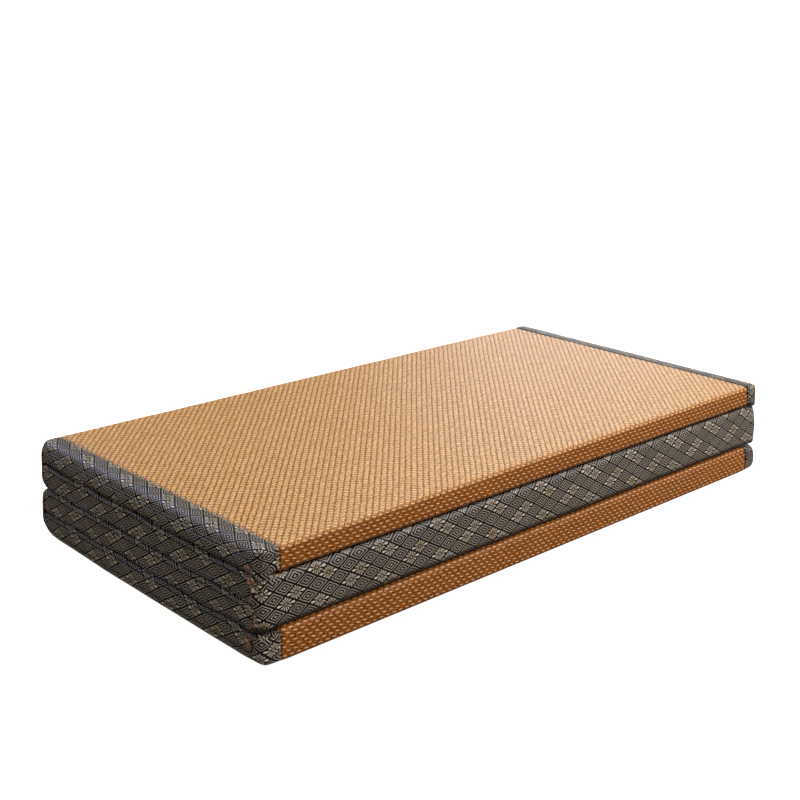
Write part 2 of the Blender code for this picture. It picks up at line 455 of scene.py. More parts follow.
def material(finish):
    """The material that a finish's function fills, under its name. It is made only once."""
    made = bpy.data.materials.get(finish.__name__)
    if made is None:
        made = bpy.data.materials.new(finish.__name__)
        tree = emptied_tree(made)
        add(tree, "OutputMaterial", {"Surface": finish(tree)})
    return made


def cloth_place(tree, cloth, scale, detail, reach):
    """Place on the cloth, which drifts by up to half of reach as threads do, as X and Y."""
    noise = add(tree, "TexNoise", {"Vector": cloth, "Scale": scale, "Detail": detail})
    drift = add(tree, "VectorMath", [noise.outputs["Color"], (0.5, 0.5, 0.5)], operation="SUBTRACT")
    drift = add(tree, "VectorMath", {0: drift, "Scale": reach}, operation="SCALE")
    place = add(tree, "VectorMath", [cloth, drift], operation="ADD")
    return add(tree, "SeparateXYZ", [place])


def woven_rush(tree):
    """Rush woven under pale cords, lacquered: the fine strands run front to back in slanting ribs
    with furrows darkened by painted shade, and the cords come up over them as staggered cream
    dashes that carry a painted highlight. The top is painted paler, as light falls on it."""
    s, c = sizes(), colours()
    cloth = add(tree, "UVMap", uv_map="cloth")
    place = cloth_place(tree, cloth, 28.0, 2.0, 1.6 * MM)
    a = add(tree, "Math", [place.outputs["X"], s.warp], operation="DIVIDE")
    b = add(tree, "Math", [place.outputs["Y"], s.weft], operation="DIVIDE")
    row = add(tree, "Math", [b], operation="FLOOR")
    across = add(tree, "Math", [b, row], operation="SUBTRACT")
    across = add(tree, "Math", [across, 0.5], operation="SUBTRACT")
    # Each row's dashes stand half a repeat beside the next row's
    phase = add(tree, "Math", [a, row], operation="ADD")
    angle = add(tree, "Math", [phase, math.pi], operation="MULTIPLY")
    swing = add(tree, "Math", [angle], operation="COSINE")
    # Each dash leans a little across its row
    tilt = add(tree, "Math", [angle], operation="SINE")
    bulge = add(tree, "Math", [tilt, 0.075, across], operation="MULTIPLY_ADD")
    bulge = add(tree, "Math", [bulge, math.pi], operation="MULTIPLY")
    bulge = add(tree, "Math", [bulge], operation="COSINE")
    # A dash is the lens where both cosines are near 1: the pale cord with a painted highlight. On
    # the top it is thicker, a broader painted highlight where the light falls
    painted_light_top = add(tree, "Attribute", attribute_name="painted_light_top").outputs["Fac"]
    swell = add(tree, "Math", [painted_light_top, 0.1275, 0.0575], operation="MULTIPLY_ADD")
    dash = add(tree, "Math", [swing, swell, bulge], operation="MULTIPLY_ADD")
    dash = add(tree, "Math", [painted_light_top, 0.0225, dash], operation="MULTIPLY_ADD")
    dash = add(tree, "MapRange", [dash, 0.955, 0.995], **STEP)
    # The furrows slant from each row's dip to the next row's
    slant = add(tree, "Math", [phase, across], operation="SUBTRACT")
    slant = add(tree, "Math", [slant, math.pi], operation="MULTIPLY")
    slant = add(tree, "Math", [slant], operation="COSINE")
    furrow = add(tree, "MapRange", [slant, -1.0, -0.5, 1.0, 0.0], **STEP)
    # One shade for each dash and what lies round it, so that no two look alike
    column = add(tree, "Math", [phase, 1.0], operation="ADD")
    column = add(tree, "Math", [column, 2.0], operation="DIVIDE")
    column = add(tree, "Math", [column], operation="FLOOR")
    cell = add(tree, "CombineXYZ", [column, row])
    chance = add(tree, "TexWhiteNoise", [cell], noise_dimensions="2D")
    # Strands of about 3 mm by 1.5 mm, on the top by 4 mm: coarser than the real ones, so that
    # they show
    fine = add(tree, "VectorMath", [cloth, (340.0, 700.0, 1.0)], operation="MULTIPLY")
    fine = add(tree, "TexNoise", {"Vector": fine, "Scale": 1.0, "Detail": 3.0})
    coarse = add(tree, "VectorMath", [cloth, (400.0, 240.0, 1.0)], operation="MULTIPLY")
    coarse = add(tree, "TexNoise", {"Vector": coarse, "Scale": 1.0, "Detail": 3.0})
    strand = add(tree, "Mix", {"Factor": painted_light_top, "A": fine, "B": coarse})
    strand = add(tree, "MapRange", [strand, 0.40, 0.60], **STEP)
    patch = add(tree, "TexNoise", {"Vector": cloth, "Scale": 9.0, "Detail": 3.0})
    lively = add(tree, "Math", [painted_light_top, -0.48, 1.25], operation="MULTIPLY_ADD")
    shade = add(tree, "Math", [strand, 0.5], operation="SUBTRACT")
    shade = add(tree, "Math", [shade, lively, 0.80], operation="MULTIPLY_ADD")
    shade = add(tree, "Math", [chance, 0.16, shade], operation="MULTIPLY_ADD")
    shade = add(tree, "Math", [patch, 0.10, shade], operation="MULTIPLY_ADD")
    # Painted light: the top takes the paler copy of the rush
    body = add(tree, "Mix", {"Factor": painted_light_top, "A": c.rush_body, "B": c.rush_painted_light},
               data_type="RGBA")
    gap = add(tree, "Mix", {"Factor": painted_light_top, "A": c.rush_furrow_shade, "B": c.lit_top_furrow_shade}, data_type="RGBA")
    # Painted shade in the furrows, stronger on the top
    depth = add(tree, "Math", [painted_light_top, 0.14, 0.66], operation="MULTIPLY_ADD")
    depth = add(tree, "Math", [depth, furrow], operation="MULTIPLY")
    # Painted shadow: on the side away from the light the cover is painted dark where it dips
    # under the sewn binding
    seam = add(tree, "Attribute", attribute_name="seam").outputs["Fac"]
    depth = add(tree, "Math", [depth, seam], operation="MAXIMUM")
    base = add(tree, "Mix", {"Factor": depth, "A": body, "B": gap}, data_type="RGBA")
    base = add(tree, "VectorMath", {0: base, "Scale": shade}, operation="SCALE")
    # Painted highlight on the dashes, duller on dashes picked at random
    crest_highlight = add(tree, "Mix", {"Factor": chance, "A": c.rush_dull_crest_highlight, "B": c.rush_crest_highlight},
                data_type="RGBA")
    tone = add(tree, "Mix", {"Factor": dash, "A": base, "B": crest_highlight}, data_type="RGBA")
    height = add(tree, "Math", [furrow, -0.4, dash], operation="MULTIPLY_ADD")
    height = add(tree, "Math", [strand, 0.6, height], operation="MULTIPLY_ADD")
    bump = add(tree, "Bump", {"Strength": 0.8, "Distance": 0.35 * MM, "Height": height})
    rough = add(tree, "Math", [strand, -0.12, 0.46], operation="MULTIPLY_ADD")
    return add(tree, "BsdfPrincipled", {
        "Base Color": tone, "Normal": bump, "Roughness": rough, "IOR": 1.46,
        "Specular IOR Level": 0.34, "Specular Tint": linear("FFF8EA")})


def jacquard_brocade(tree):
    """Polyester brocade, jacquard woven: pale concentric diamonds and paired cream flowers float on
    a near-black ground, with a cool sheen where light grazes it."""
    s, c = sizes(), colours()
    cloth = add(tree, "UVMap", uv_map="cloth")
    place = cloth_place(tree, cloth, 22.0, 1.0, 3.0 * MM)
    u = add(tree, "Math", [place.outputs["X"], s.diamond_width], operation="DIVIDE")
    v = add(tree, "Math", [place.outputs["Y"], s.diamond_height], operation="DIVIDE")
    # Turned to the diamonds' own directions, where each diamond is a unit square
    p = add(tree, "Math", [u, v], operation="ADD")
    p = add(tree, "Math", [p, 0.5], operation="MULTIPLY")
    q = add(tree, "Math", [u, v], operation="SUBTRACT")
    q = add(tree, "Math", [q, 0.5], operation="MULTIPLY")
    p_cell = add(tree, "Math", [p], operation="ROUND")
    q_cell = add(tree, "Math", [q], operation="ROUND")
    dp = add(tree, "Math", [p, p_cell], operation="SUBTRACT")
    dq = add(tree, "Math", [q, q_cell], operation="SUBTRACT")
    p_far = add(tree, "Math", [dp], operation="ABSOLUTE")
    q_far = add(tree, "Math", [dq], operation="ABSOLUTE")
    far = add(tree, "Math", [p_far, q_far], operation="MAXIMUM")
    far = add(tree, "Math", [far, 2.0], operation="MULTIPLY")
    # Concentric lines: a small ring in the middle, two round it, and a dark border last
    wave = add(tree, "Math", [far, 0.09], operation="SUBTRACT")
    wave = add(tree, "Math", [wave, 2 * math.pi / 0.345], operation="MULTIPLY")
    wave = add(tree, "Math", [wave], operation="COSINE")
    lines = add(tree, "MapRange", [wave, 0.35, 0.8], **STEP)
    # Flowers: five thin petals above and five below a bright dot, at equal angles
    x = add(tree, "Math", [dp, dq], operation="ADD")
    x = add(tree, "Math", [x, s.diamond_width], operation="MULTIPLY")
    y = add(tree, "Math", [dp, dq], operation="SUBTRACT")
    y = add(tree, "Math", [y, s.diamond_height], operation="MULTIPLY")
    thin = add(tree, "Math", [y, x], operation="ARCTAN2")
    thin = add(tree, "Math", [thin, 12.0], operation="MULTIPLY")
    thin = add(tree, "Math", [thin], operation="COSINE")
    thin = add(tree, "MapRange", [thin, -0.5, 0.3], **STEP)
    petal_start = add(tree, "MapRange", [far, 0.24, 0.34], **STEP)
    petal_end = add(tree, "MapRange", [far, 0.82, 0.90, 1.0, 0.0], **STEP)
    thin = add(tree, "Math", [thin, petal_start], operation="MULTIPLY")
    thin = add(tree, "Math", [thin, petal_end], operation="MULTIPLY")
    # and a wide petal on either side: an ellipse round a place towards the diamond's sharp corner
    aside = add(tree, "Math", [x], operation="ABSOLUTE")
    aside = add(tree, "Math", [aside, 0.64 * s.diamond_width], operation="SUBTRACT")
    aside = add(tree, "Math", [aside, 0.18 * s.diamond_width], operation="DIVIDE")
    aside = add(tree, "Math", [aside, 2.0], operation="POWER")
    above = add(tree, "Math", [y, 0.14 * s.diamond_height], operation="DIVIDE")
    above = add(tree, "Math", [above, 2.0], operation="POWER")
    ellipse = add(tree, "Math", [aside, above], operation="ADD")
    wide = add(tree, "MapRange", [ellipse, 0.8, 1.2, 1.0, 0.0], **STEP)
    clear = add(tree, "MapRange", [ellipse, 1.4, 1.9], **STEP)
    heart = add(tree, "MapRange", [far, 0.10, 0.18, 1.0, 0.0], **STEP)
    petals = add(tree, "Math", [thin, clear], operation="MULTIPLY")
    petals = add(tree, "Math", [petals, wide], operation="MAXIMUM")
    petals = add(tree, "Math", [petals, heart], operation="MAXIMUM")
    # Which diamonds hold a flower: the repeat is six half widths by four half heights
    third = add(tree, "Math", [q_cell, 2.0], operation="MULTIPLY")
    third = add(tree, "Math", [third, p_cell], operation="SUBTRACT")
    third = add(tree, "Math", [third, 3.0], operation="FLOORED_MODULO")
    fourth = add(tree, "Math", [p_cell, q_cell], operation="SUBTRACT")
    fourth = add(tree, "Math", [fourth, 4.0], operation="FLOORED_MODULO")
    fourth = add(tree, "Math", [fourth, 1.5], operation="LESS_THAN")
    flower = add(tree, "Math", [third, fourth, 0.25], operation="COMPARE")
    pattern = add(tree, "Mix", {"Factor": flower, "A": lines, "B": petals})
    # Thread colours
    cell = add(tree, "CombineXYZ", [p_cell, q_cell])
    chance = add(tree, "TexWhiteNoise", [cell], noise_dimensions="2D")
    golden = add(tree, "TexNoise", {"Vector": cloth, "Scale": 60.0, "Detail": 2.0})
    golden = add(tree, "MapRange", [golden, 0.48, 0.64, 0.0, 0.7], **STEP)
    golden = add(tree, "Math", [golden, flower], operation="MULTIPLY")
    thread = add(tree, "Mix", {"Factor": golden, "A": c.brocade_thread, "B": c.brocade_gold},
                 data_type="RGBA")
    # The wide petals are the palest, and the thin ones turn paler towards their tips
    bright = add(tree, "MapRange", [far, 0.30, 0.75, 0.0, 0.50], **STEP)
    bright = add(tree, "Math", [bright, wide], operation="MAXIMUM")
    bright = add(tree, "Math", [bright, flower], operation="MULTIPLY")
    thread = add(tree, "Mix", {"Factor": bright, "A": thread, "B": c.brocade_petal},
                 data_type="RGBA")
    tone = add(tree, "Mix", {"Factor": pattern, "A": c.brocade_ground, "B": thread},
               data_type="RGBA")
    # Weft ribs of 0.7 mm, which is coarser than the real thread so that a close view shows them
    rib = add(tree, "Math", [place.outputs["Y"], 2 * math.pi / (0.7 * MM)], operation="MULTIPLY")
    rib = add(tree, "Math", [rib], operation="SINE")
    grain = add(tree, "VectorMath", [cloth, (700.0, 2200.0, 1.0)], operation="MULTIPLY")
    grain = add(tree, "TexNoise", {"Vector": grain, "Scale": 1.0, "Detail": 2.0})
    shade = add(tree, "Math", [grain, 0.8, 0.50], operation="MULTIPLY_ADD")
    shade = add(tree, "Math", [rib, 0.10, shade], operation="MULTIPLY_ADD")
    shade = add(tree, "Math", [chance, 0.16, shade], operation="MULTIPLY_ADD")
    # The raw edge at the corners: a fuzz of rust-brown threads near the hem line
    hem = add(tree, "Attribute", attribute_name="hem").outputs["Fac"]
    fray = add(tree, "TexNoise", {"Vector": cloth, "Scale": 380.0, "Detail": 3.0})
    fray = add(tree, "Math", [fray, 12.0, -5.0], operation="MULTIPLY_ADD")
    edge = add(tree, "Math", [hem, fray], operation="ADD")
    edge = add(tree, "MapRange", [edge, 0.5, 7.0, 0.8, 0.0], **STEP)
    worn = add(tree, "TexNoise", {"Vector": cloth, "Scale": 55.0, "Detail": 1.0})
    worn = add(tree, "MapRange", [worn, 0.48, 0.62], **STEP)
    edge = add(tree, "Math", [edge, worn], operation="MULTIPLY")
    tone = add(tree, "Mix", {"Factor": edge, "A": tone, "B": c.hem}, data_type="RGBA")
    # Painted shadow: on the side away from the light the sewn edge is painted darker, as in its own
    # shadow, and so is each strip's foot
    seam = add(tree, "Attribute", attribute_name="seam").outputs["Fac"]
    lit = add(tree, "Math", [seam, -0.92, 1.0], operation="MULTIPLY_ADD")
    shade = add(tree, "Math", [shade, lit], operation="MULTIPLY")
    tone = add(tree, "VectorMath", {0: tone, "Scale": shade}, operation="SCALE")
    height = add(tree, "Math", [rib, 0.12, pattern], operation="MULTIPLY_ADD")
    height = add(tree, "Math", [grain, 0.4, height], operation="MULTIPLY_ADD")
    bump = add(tree, "Bump", {"Strength": 0.6, "Distance": 0.25 * MM, "Height": height})
    return add(tree, "BsdfPrincipled", {
        "Base Color": tone, "Normal": bump, "Roughness": 0.42, "Specular IOR Level": 0.30,
        "Specular Tint": linear("DCE6FF"), "Sheen Weight": 0.03, "Sheen Roughness": 0.35,
        "Sheen Tint": linear("9CB0F4")})


def spun_thread(tree):
    """Spun polyester thread, twisted: small matt beads with a twist line across each."""
    c = colours()
    place = add(tree, "TexCoord").outputs["Object"]
    twist = add(tree, "TexNoise", {"Vector": place, "Scale": 1400.0})
    tone = add(tree, "Mix", {"Factor": twist, "A": c.thread_shade, "B": c.thread},
               data_type="RGBA")
    bump = add(tree, "Bump", {"Strength": 0.5, "Distance": 0.1 * MM, "Height": twist})
    return add(tree, "BsdfPrincipled", {"Base Color": tone, "Normal": bump, "Roughness": 0.7})


def painted_studio_floor(tree):
    """White matt paint, rolled: faintly clouded, and lit from within so that no shadow greys it."""
    c = colours()
    place = add(tree, "TexCoord").outputs["Object"]
    clouds = add(tree, "TexNoise", {"Vector": place, "Scale": 3.0})
    tone = add(tree, "Mix", {"Factor": clouds, "A": c.floor_mottle, "B": c.floor},
               data_type="RGBA")
    return add(tree, "BsdfPrincipled", {
        "Base Color": tone, "Roughness": 0.9, "Emission Color": (1.0, 1.0, 1.0, 1.0),
        "Emission Strength": 0.92})


# ---------------------------------------------------------------------------------------------
# The pads
# ---------------------------------------------------------------------------------------------

# Steps in the ring's nine pieces where the rush is hidden: all round, and behind the woven part
HIDDEN_STEPS = (12, 3, 5, 3, 24, 3, 5, 3, 12)
BEHIND_STEPS = (1, 3, 4, 3, 24, 3, 5, 3, 12)
HIDDEN_STATIONS = 61  # along X, where the rush is hidden
UNDER_START = 0.75  # the base pad's ribs start this share of the way to its front edge
FRONT_RELIEF = 0.4  # the ribs lie this much flatter round the edges than on the top


def weave_height(u, v):
    """Height of the woven rush from 0 to 1 at u along the rows and v across them.

    The ribs slant over the grid of warps and rows: half of 1 + cos(pi (u / warp - v / weft + 1/2)).
    It is lowest where the furrows of the material lie.
    """
    s = sizes()
    return 0.5 + 0.5 * np.cos(math.pi * (u / s.warp - v / s.weft + 0.5))


def seam_place(form):
    """Where a cover dips under its end binding, along X."""
    return form.end - sizes().reach - sizes().gap


def pad_stations(form, fine):
    """Places along X: at every half warp pitch between the bindings, and a few under them."""
    corner, shoulder, half = sizes().corner, seam_place(form), sizes().warp / 2
    count = math.floor((shoulder - MM) / half)
    body = (np.arange(-count, count + 1) * half if fine
            else np.linspace(2 * MM - shoulder, shoulder - 2 * MM, HIDDEN_STATIONS))
    step = shoulder + np.array([-0.4, 0.5, 2.5]) * MM
    tip = form.end - tuck() - (corner - tuck()) * (1 - np.sin(np.linspace(0, QUARTER, 6)))
    outer = np.concatenate([step, tip])
    return np.concatenate([-outer[::-1], body, outer])


def pad_columns(form, number):
    """Arc lengths round a pad: every half weft pitch where the rush shows, wider elsewhere."""
    knots, half = ring_knots(form), sizes().weft / 2
    if number not in RUSH_SHOWS:
        return spread(knots, HIDDEN_STEPS)
    start, stop = (knots[1], knots[6]) if number == TOP_PAD else (UNDER_START * knots[1], knots[4])
    fine = np.arange(math.ceil(start / half), math.floor(stop / half) + 1) * half
    before = np.linspace(0, fine[0], 9)[:-1]
    behind = spread(knots, BEHIND_STEPS)
    return np.concatenate([before, fine, behind[behind > fine[-1] + MM]])


def make_pad(number):
    """One pad in its woven cover: rings along X, closed at both ends under the bindings.

    Between the bindings the weave's height is added along the surface's normal. Under the bindings
    the cover is drawn in, with a smooth step at the seam.
    """
    s = sizes()
    form = pad_form(number)
    knots = ring_knots(form)
    top, base, shows = number == TOP_PAD, number == BASE_PAD, number in RUSH_SHOWS
    x, v = pad_stations(form, shows), pad_columns(form, number)
    shoulder = seam_place(form)
    covered = smooth(np.abs(x), shoulder - 1.2 * MM, shoulder + 0.5 * MM)
    free = (1 - covered)[:, None]
    # Between two strips a cover leaves room for their edges, which turn in over it
    points = ring_points(form, x, np.maximum(covered, not shows) * tuck(), v)
    n = outward_normals(points, points - [0, 0, (form.low + form.top) / 2], closed=True)
    if shows:
        # The ribs are strongest on the top, and there are none where the next pad hides them
        share = (FRONT_RELIEF + (1 - FRONT_RELIEF) * smooth(v, knots[3], knots[4]) if top
                 else FRONT_RELIEF * (v < knots[4] + MM))
        # They run out towards the floor
        if base:
            share = share * ramp(points[..., 2], 2 * MM, 5 * MM)
        relief = (weave_height(x[:, None], v) - 1.0) * s.relief * free
        points = points + n * (relief * share)[..., None]
    soft = PAD_SWELL * hollows(x[:, None], v, 10 + number) * free
    if base:
        soft = soft * ramp(points[..., 2], 2 * MM, 10 * MM)
    points = points + n * soft[..., None]
    rows, columns = points.shape[:2]
    i, j = grid_quads(rows, columns + 1)
    quads = i * columns + j % columns
    loop_uv = np.stack([x[i], np.append(v, knots[-1])[j]], axis=-1).reshape(-1, 2)
    ends = [list(range(columns)), list(range((rows - 1) * columns, rows * columns))[::-1]]
    end_uv = np.stack([np.full(2 * columns, x[-1]), np.concatenate([v, v[::-1]])], axis=1)
    # Painted light: the stack's top face is painted paler, as light falls on it
    painted_light_top = smooth(v, knots[3], knots[4]) * (1 - smooth(v, knots[5], knots[6])) * top
    # Painted shadow on the right end's cover, under and beside its binding
    attributes = {"painted_light_top": np.tile(painted_light_top, rows), "seam": np.repeat(covered * (x > 0), columns)}
    piece = make_piece(f"woven_pad_{number}", points, quads.tolist() + ends,
                       np.concatenate([loop_uv, end_uv]), material(woven_rush),
                       attributes)
    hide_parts(f"panel_{number}")
    return piece


# ---------------------------------------------------------------------------------------------
# The end bindings
# ---------------------------------------------------------------------------------------------

ALONG, UP = 150, 12  # steps along an end's base and top, and up its front and back
SEWN_WIDTH = 2.2 * MM  # of the groove that the binding's edge is sewn into
SHADOW_WIDTH = 3.6 * MM  # of the shadow beside it
HEM_IN = 16 * MM  # the folded hem on an end lies this far in from the pad's side
PILLOW = 0.6 * MM  # how far the filling pushes an end out
END_THICKNESS = 5 * MM  # what lies within this of the end's furthest point counts as the end


def ring_sides(ring):
    """The front, top, back and base of a closed ring of points or of their numbers.

    Neighbours share a corner. The front and the back run up, the base and the top run back.
    """
    ring = np.concatenate([ring, ring[:1]])
    front, top, back, base = (ring[a:a + n + 1] for a, n in (
        (0, UP), (UP, ALONG), (UP + ALONG, UP), (2 * UP + ALONG, ALONG)))
    return front, top, back[::-1], base[::-1]


def coons_patch(front, top, back, base):
    """A surface between four sides that share their corners.

    Its point at (s, t) is (1-t) base(s) + t top(s) + (1-s) front(t) + s back(t), less the bilinear
    blend of the four corners.
    """
    s = np.linspace(0, 1, len(base))[None, :, None]
    t = np.linspace(0, 1, len(front))[:, None, None]
    return ((1 - t) * base[None] + t * top[None] + (1 - s) * front[:, None] + s * back[:, None]
            - (1 - s) * (1 - t) * base[0] - s * (1 - t) * base[-1]
            - (1 - s) * t * top[0] - s * t * top[-1])


def binding_rings(form, number, side):
    """The rings of an end binding, from its sewn edge over the rounding to the flat end."""
    s = sizes()
    knots = ring_knots(form)
    bends = [(knots[k] + knots[k + 1]) / 2 for k in (1, 3, 5, 7)]
    v = spread(np.append(bends, bends[0] + knots[-1]), (UP, ALONG, UP, ALONG)) % knots[-1]
    edge = form.end - s.reach + s.seam
    straight = np.linspace(edge, form.end - s.corner, 9)[:-1]
    x = np.concatenate([straight, form.end - s.corner * (1 - np.sin(np.linspace(0.0, QUARTER, 9)))])
    # The edge is sewn down into a groove beside the rush
    rings = ring_points(form, side * x, s.groove * bell(x, edge, SEWN_WIDTH), v)
    centre = [side * (form.end - s.reach), 0, (form.low + form.top) / 2]
    n = outward_normals(rings, rings - centre, closed=True)
    seed = 40 + 2 * number + (side > 0)
    soft = BINDING_SWELL * hollows(rings[..., 0] + rings[..., 1], rings[..., 2], seed, 0.35)
    rings = rings + n * (soft * ramp(rings[..., 2], 1.5 * MM, 5.5 * MM))[..., None]
    # Where two pads lie on each other their ends draw in unevenly, which leaves a dark joint
    rise = (rings[..., 2] - form.low) / (form.top - form.low)
    squeeze = s.joint * (1 + JOINT_VARIATION * np.sin(rings[..., 1] / JOINT_WAVE + 2 * number))
    rings[..., 2] += squeeze * (smooth(rise, 0.4, 0.0) * (number != BASE_PAD)
                                - smooth(rise, 0.6, 1.0) * (number != TOP_PAD))
    return rings


def hem_distance(number, vertices):
    """Distance in millimetres from the folded hem that lies on an end near its upright corners."""
    x, y, z = np.abs(vertices[:, 0]), np.abs(vertices[:, 1]), vertices[:, 2]
    wave = 2.5 * MM * np.sin(z / (9 * MM) + number)
    away = np.abs(y - (sizes().depth / 2 - HEM_IN) + wave)
    return np.where(x > x.max() - END_THICKNESS, away, 1.0) / MM


def make_end_binding(number, side):
    """A cap of brocade over one end of a pad: rings from its edge to the end, then a Coons patch.

    The pattern is laid flat on the end and carried on over each fold by the arc length of the
    ring's own meridian, so that it breaks at the mitred corners.
    """
    s = sizes()
    form = pad_form(number)
    rings = binding_rings(form, number, side)
    rows, count = rings.shape[:2]
    patch = coons_patch(*ring_sides(rings[-1]))
    pillow = (np.sin(math.pi * np.linspace(0, 1, ALONG + 1)) ** 0.3
              * np.sin(math.pi * np.linspace(0, 1, UP + 1))[:, None])
    patch[..., 0] += side * PILLOW * pillow
    inner = patch[1:-1, 1:-1]
    vertices = np.concatenate([rings.reshape(-1, 3), inner.reshape(-1, 3)])
    index = np.empty((UP + 1, ALONG + 1), int)
    index[:, 0], index[-1], index[:, -1], index[0] = ring_sides(
        np.arange((rows - 1) * count, rows * count))
    index[1:-1, 1:-1] = rows * count + np.arange(inner[..., 0].size).reshape(inner.shape[:2])
    i, j = grid_quads(rows, count + 1)
    pi, pj = grid_quads(UP + 1, ALONG + 1)
    quads = np.concatenate([i * count + j % count, index[pi, pj]])

    # The pattern's coordinates: h to the right as seen from outside, and height
    h, z = side * rings[..., 1], rings[..., 2]
    steps = np.linalg.norm(np.diff(rings[::-1], axis=0), axis=-1)
    run = np.concatenate([np.zeros((1, count)), np.cumsum(steps, axis=0)])[::-1]
    side_uv = np.stack([np.stack(pair, axis=-1) for pair in (
        (h[-1] - side * run, z), (h, z[-1] + run), (h[-1] + side * run, z), (h, z[-1] - run))])
    which = np.repeat([0, 1, 2, 3], [UP, ALONG, UP, ALONG])[j[:, 0]]
    ring_uv = side_uv[which[:, None], i, j % count]
    patch_uv = np.stack([side * patch[..., 1], patch[..., 2]], axis=-1)[pi, pj]
    loop_uv = np.concatenate([ring_uv.reshape(-1, 2), patch_uv.reshape(-1, 2)])
    loop_uv = (loop_uv - np.array(REPEAT_START[number]) * MM) * np.array([BINDING_EASE, 1.0])

    name = f"end_binding_{number}_{SIDES[side]}"
    # Painted shadow beside the sewn edge, on the right end only, which faces away from the light
    seam = bell(vertices[:, 0], rings[0, :, 0].mean(), SHADOW_WIDTH) * (side > 0)
    piece = make_piece(name + "_cloth", vertices, quads.tolist(), loop_uv,
                       material(jacquard_brocade),
                       {"hem": hem_distance(number, vertices), "seam": seam})
    thicken(piece, s.cloth)
    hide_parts(name)
    return piece


# ---------------------------------------------------------------------------------------------
# The hinge strips
# ---------------------------------------------------------------------------------------------

STRIP_TURN = 0.9  # a strip follows this share of the rounding at its edges, in between the pads
STRIP_END_TURN = math.radians(72)  # and this much of the rounding in plan at its ends
STRIP_STATIONS, STRIP_END_STEPS = 301, 8
STRIP_EDGE_STEPS, STRIP_FACE_STEPS = 5, 24


def make_hinge_strip(name, upper_number, lower_number, face, start):
    """Brocade over the edges of two pads: one long side's section, carried along X.

    The section is the strip's side of the ring with its two rounded edges. The path runs straight
    along the side and turns through part of the rounding in plan at both ends.
    """
    s = sizes()
    upper, lower = pad_form(upper_number), pad_form(lower_number)
    radii = np.array([lower.radii[0], upper.radii[1], upper.radii[2], lower.radii[3]])
    outset = s.gap + s.cloth
    form = Form(lower.low + outset + STRIP_LOW_CLEARANCE * s.joint,
                upper.top - outset - STRIP_TOP_CLEARANCE * s.joint, upper.front, upper.back,
                upper.end, 0.0, lower.end_low, upper.end_top, radii)
    knots = ring_knots(form)
    in_front = face == "front"
    first, middle, last, beyond = knots[1:5] if in_front else knots[5:9]
    v = np.unique(np.concatenate([
        np.linspace(middle - STRIP_TURN * (middle - first), middle, STRIP_EDGE_STEPS),
        np.linspace(middle, last, STRIP_FACE_STEPS),
        np.linspace(last, last + STRIP_TURN * (beyond - last), STRIP_EDGE_STEPS)]))
    turn = np.linspace(0.0, STRIP_END_TURN, STRIP_END_STEPS)
    tip = form.end + outset - (s.corner + outset) * (1 - np.sin(turn))
    x = np.concatenate([-tip[::-1], np.linspace(-tip[0], tip[0], STRIP_STATIONS)[1:-1], tip])
    points = ring_points(form, x, -outset, v)
    n = outward_normals(points, points * [0, 1, 0], closed=False)
    soft = STRIP_SWELL * hollows(x[:, None], v, 70 + upper_number, 0.5)
    points = points + n * soft[..., None]
    rise = (points[..., 2] - form.low) / (form.top - form.low)
    if in_front:
        points[..., 1] -= s.stand * (1 - smooth(rise, 0.1, 1.0))

    # The pattern's coordinates: along the strip to the right as seen from outside, and height
    facing = 1 if in_front else -1
    steps = np.linalg.norm(np.diff(points, axis=0), axis=-1)
    along = np.concatenate([np.zeros((1, len(v))), np.cumsum(steps, axis=0)])
    along -= along[len(x) // 2]
    up = (form.low + radii[0] + (v - middle) if in_front
          else form.top - radii[2] - (v - middle))
    # The corners' sag hides the pattern's edge and doesn't squeeze it
    sag = corner_sag(x[:, None], facing * -s.depth / 2, up[None, :])
    rows, columns = points.shape[:2]
    i, j = grid_quads(rows, columns)
    loop_uv = np.stack([facing * along[i, j], (up - sag)[i, j]], axis=-1).reshape(-1, 2)
    loop_uv -= np.array(start) * MM
    edge = np.minimum(along - along[:1], along[-1:] - along) / MM
    # The strip's foot is painted darker: painted shade at the joint under it
    piece = make_piece(name + "_cloth", points, (i * columns + j).tolist(), loop_uv,
                       material(jacquard_brocade),
                       {"hem": edge, "seam": smooth(rise, 0.13, 0.07)})
    thicken(piece, s.cloth)
    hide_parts(name)
    # 6 mm of it turn in at each edge, and 10 mm round each corner
    return piece


# ---------------------------------------------------------------------------------------------
# The stitches
# ---------------------------------------------------------------------------------------------

STITCH_HALF_AXES = np.array([1.5, 0.5, 0.5]) * MM
STITCH_IN = 0.6 * MM  # the stitches' line lies this far from the binding's edge
STITCH_SUNK = 0.5 * MM  # and this far under the pad's nominal surface
STITCH_LEAN, STITCH_LEAN_SPREAD = 0.5, 0.3  # out of square to the seam, in radians
STITCH_SPREAD_ALONG, STITCH_SPREAD_ACROSS = 0.5 * MM, 0.4 * MM
STITCH_RINGS, STITCH_SIDES = 5, 6


def stitch_ball():
    """An ellipsoid's points, rings round its long axis and then its two poles, and its faces."""
    theta = np.linspace(0, math.pi, STITCH_RINGS + 2)[1:-1, None]
    k = np.arange(STITCH_SIDES)
    phi = k * 2 * math.pi / STITCH_SIDES
    ball = np.stack([np.cos(theta) + 0 * phi, np.sin(theta) * np.cos(phi),
                     np.sin(theta) * np.sin(phi)], axis=-1)
    ball = np.concatenate([ball.reshape(-1, 3), [[1, 0, 0], [-1, 0, 0]]]) * STITCH_HALF_AXES
    i, j = grid_quads(STITCH_RINGS, STITCH_SIDES + 1)
    low = (STITCH_RINGS - 1) * STITCH_SIDES
    after = (k + 1) % STITCH_SIDES
    poles = np.full((2, STITCH_SIDES), [[low + STITCH_SIDES], [low + STITCH_SIDES + 1]])
    top_fan = np.stack([poles[0], after, k], axis=1)
    end_fan = np.stack([poles[1], low + k, low + after], axis=1)
    body = i * STITCH_SIDES + j % STITCH_SIDES
    return ball, body.tolist() + top_fan.tolist() + end_fan.tolist()


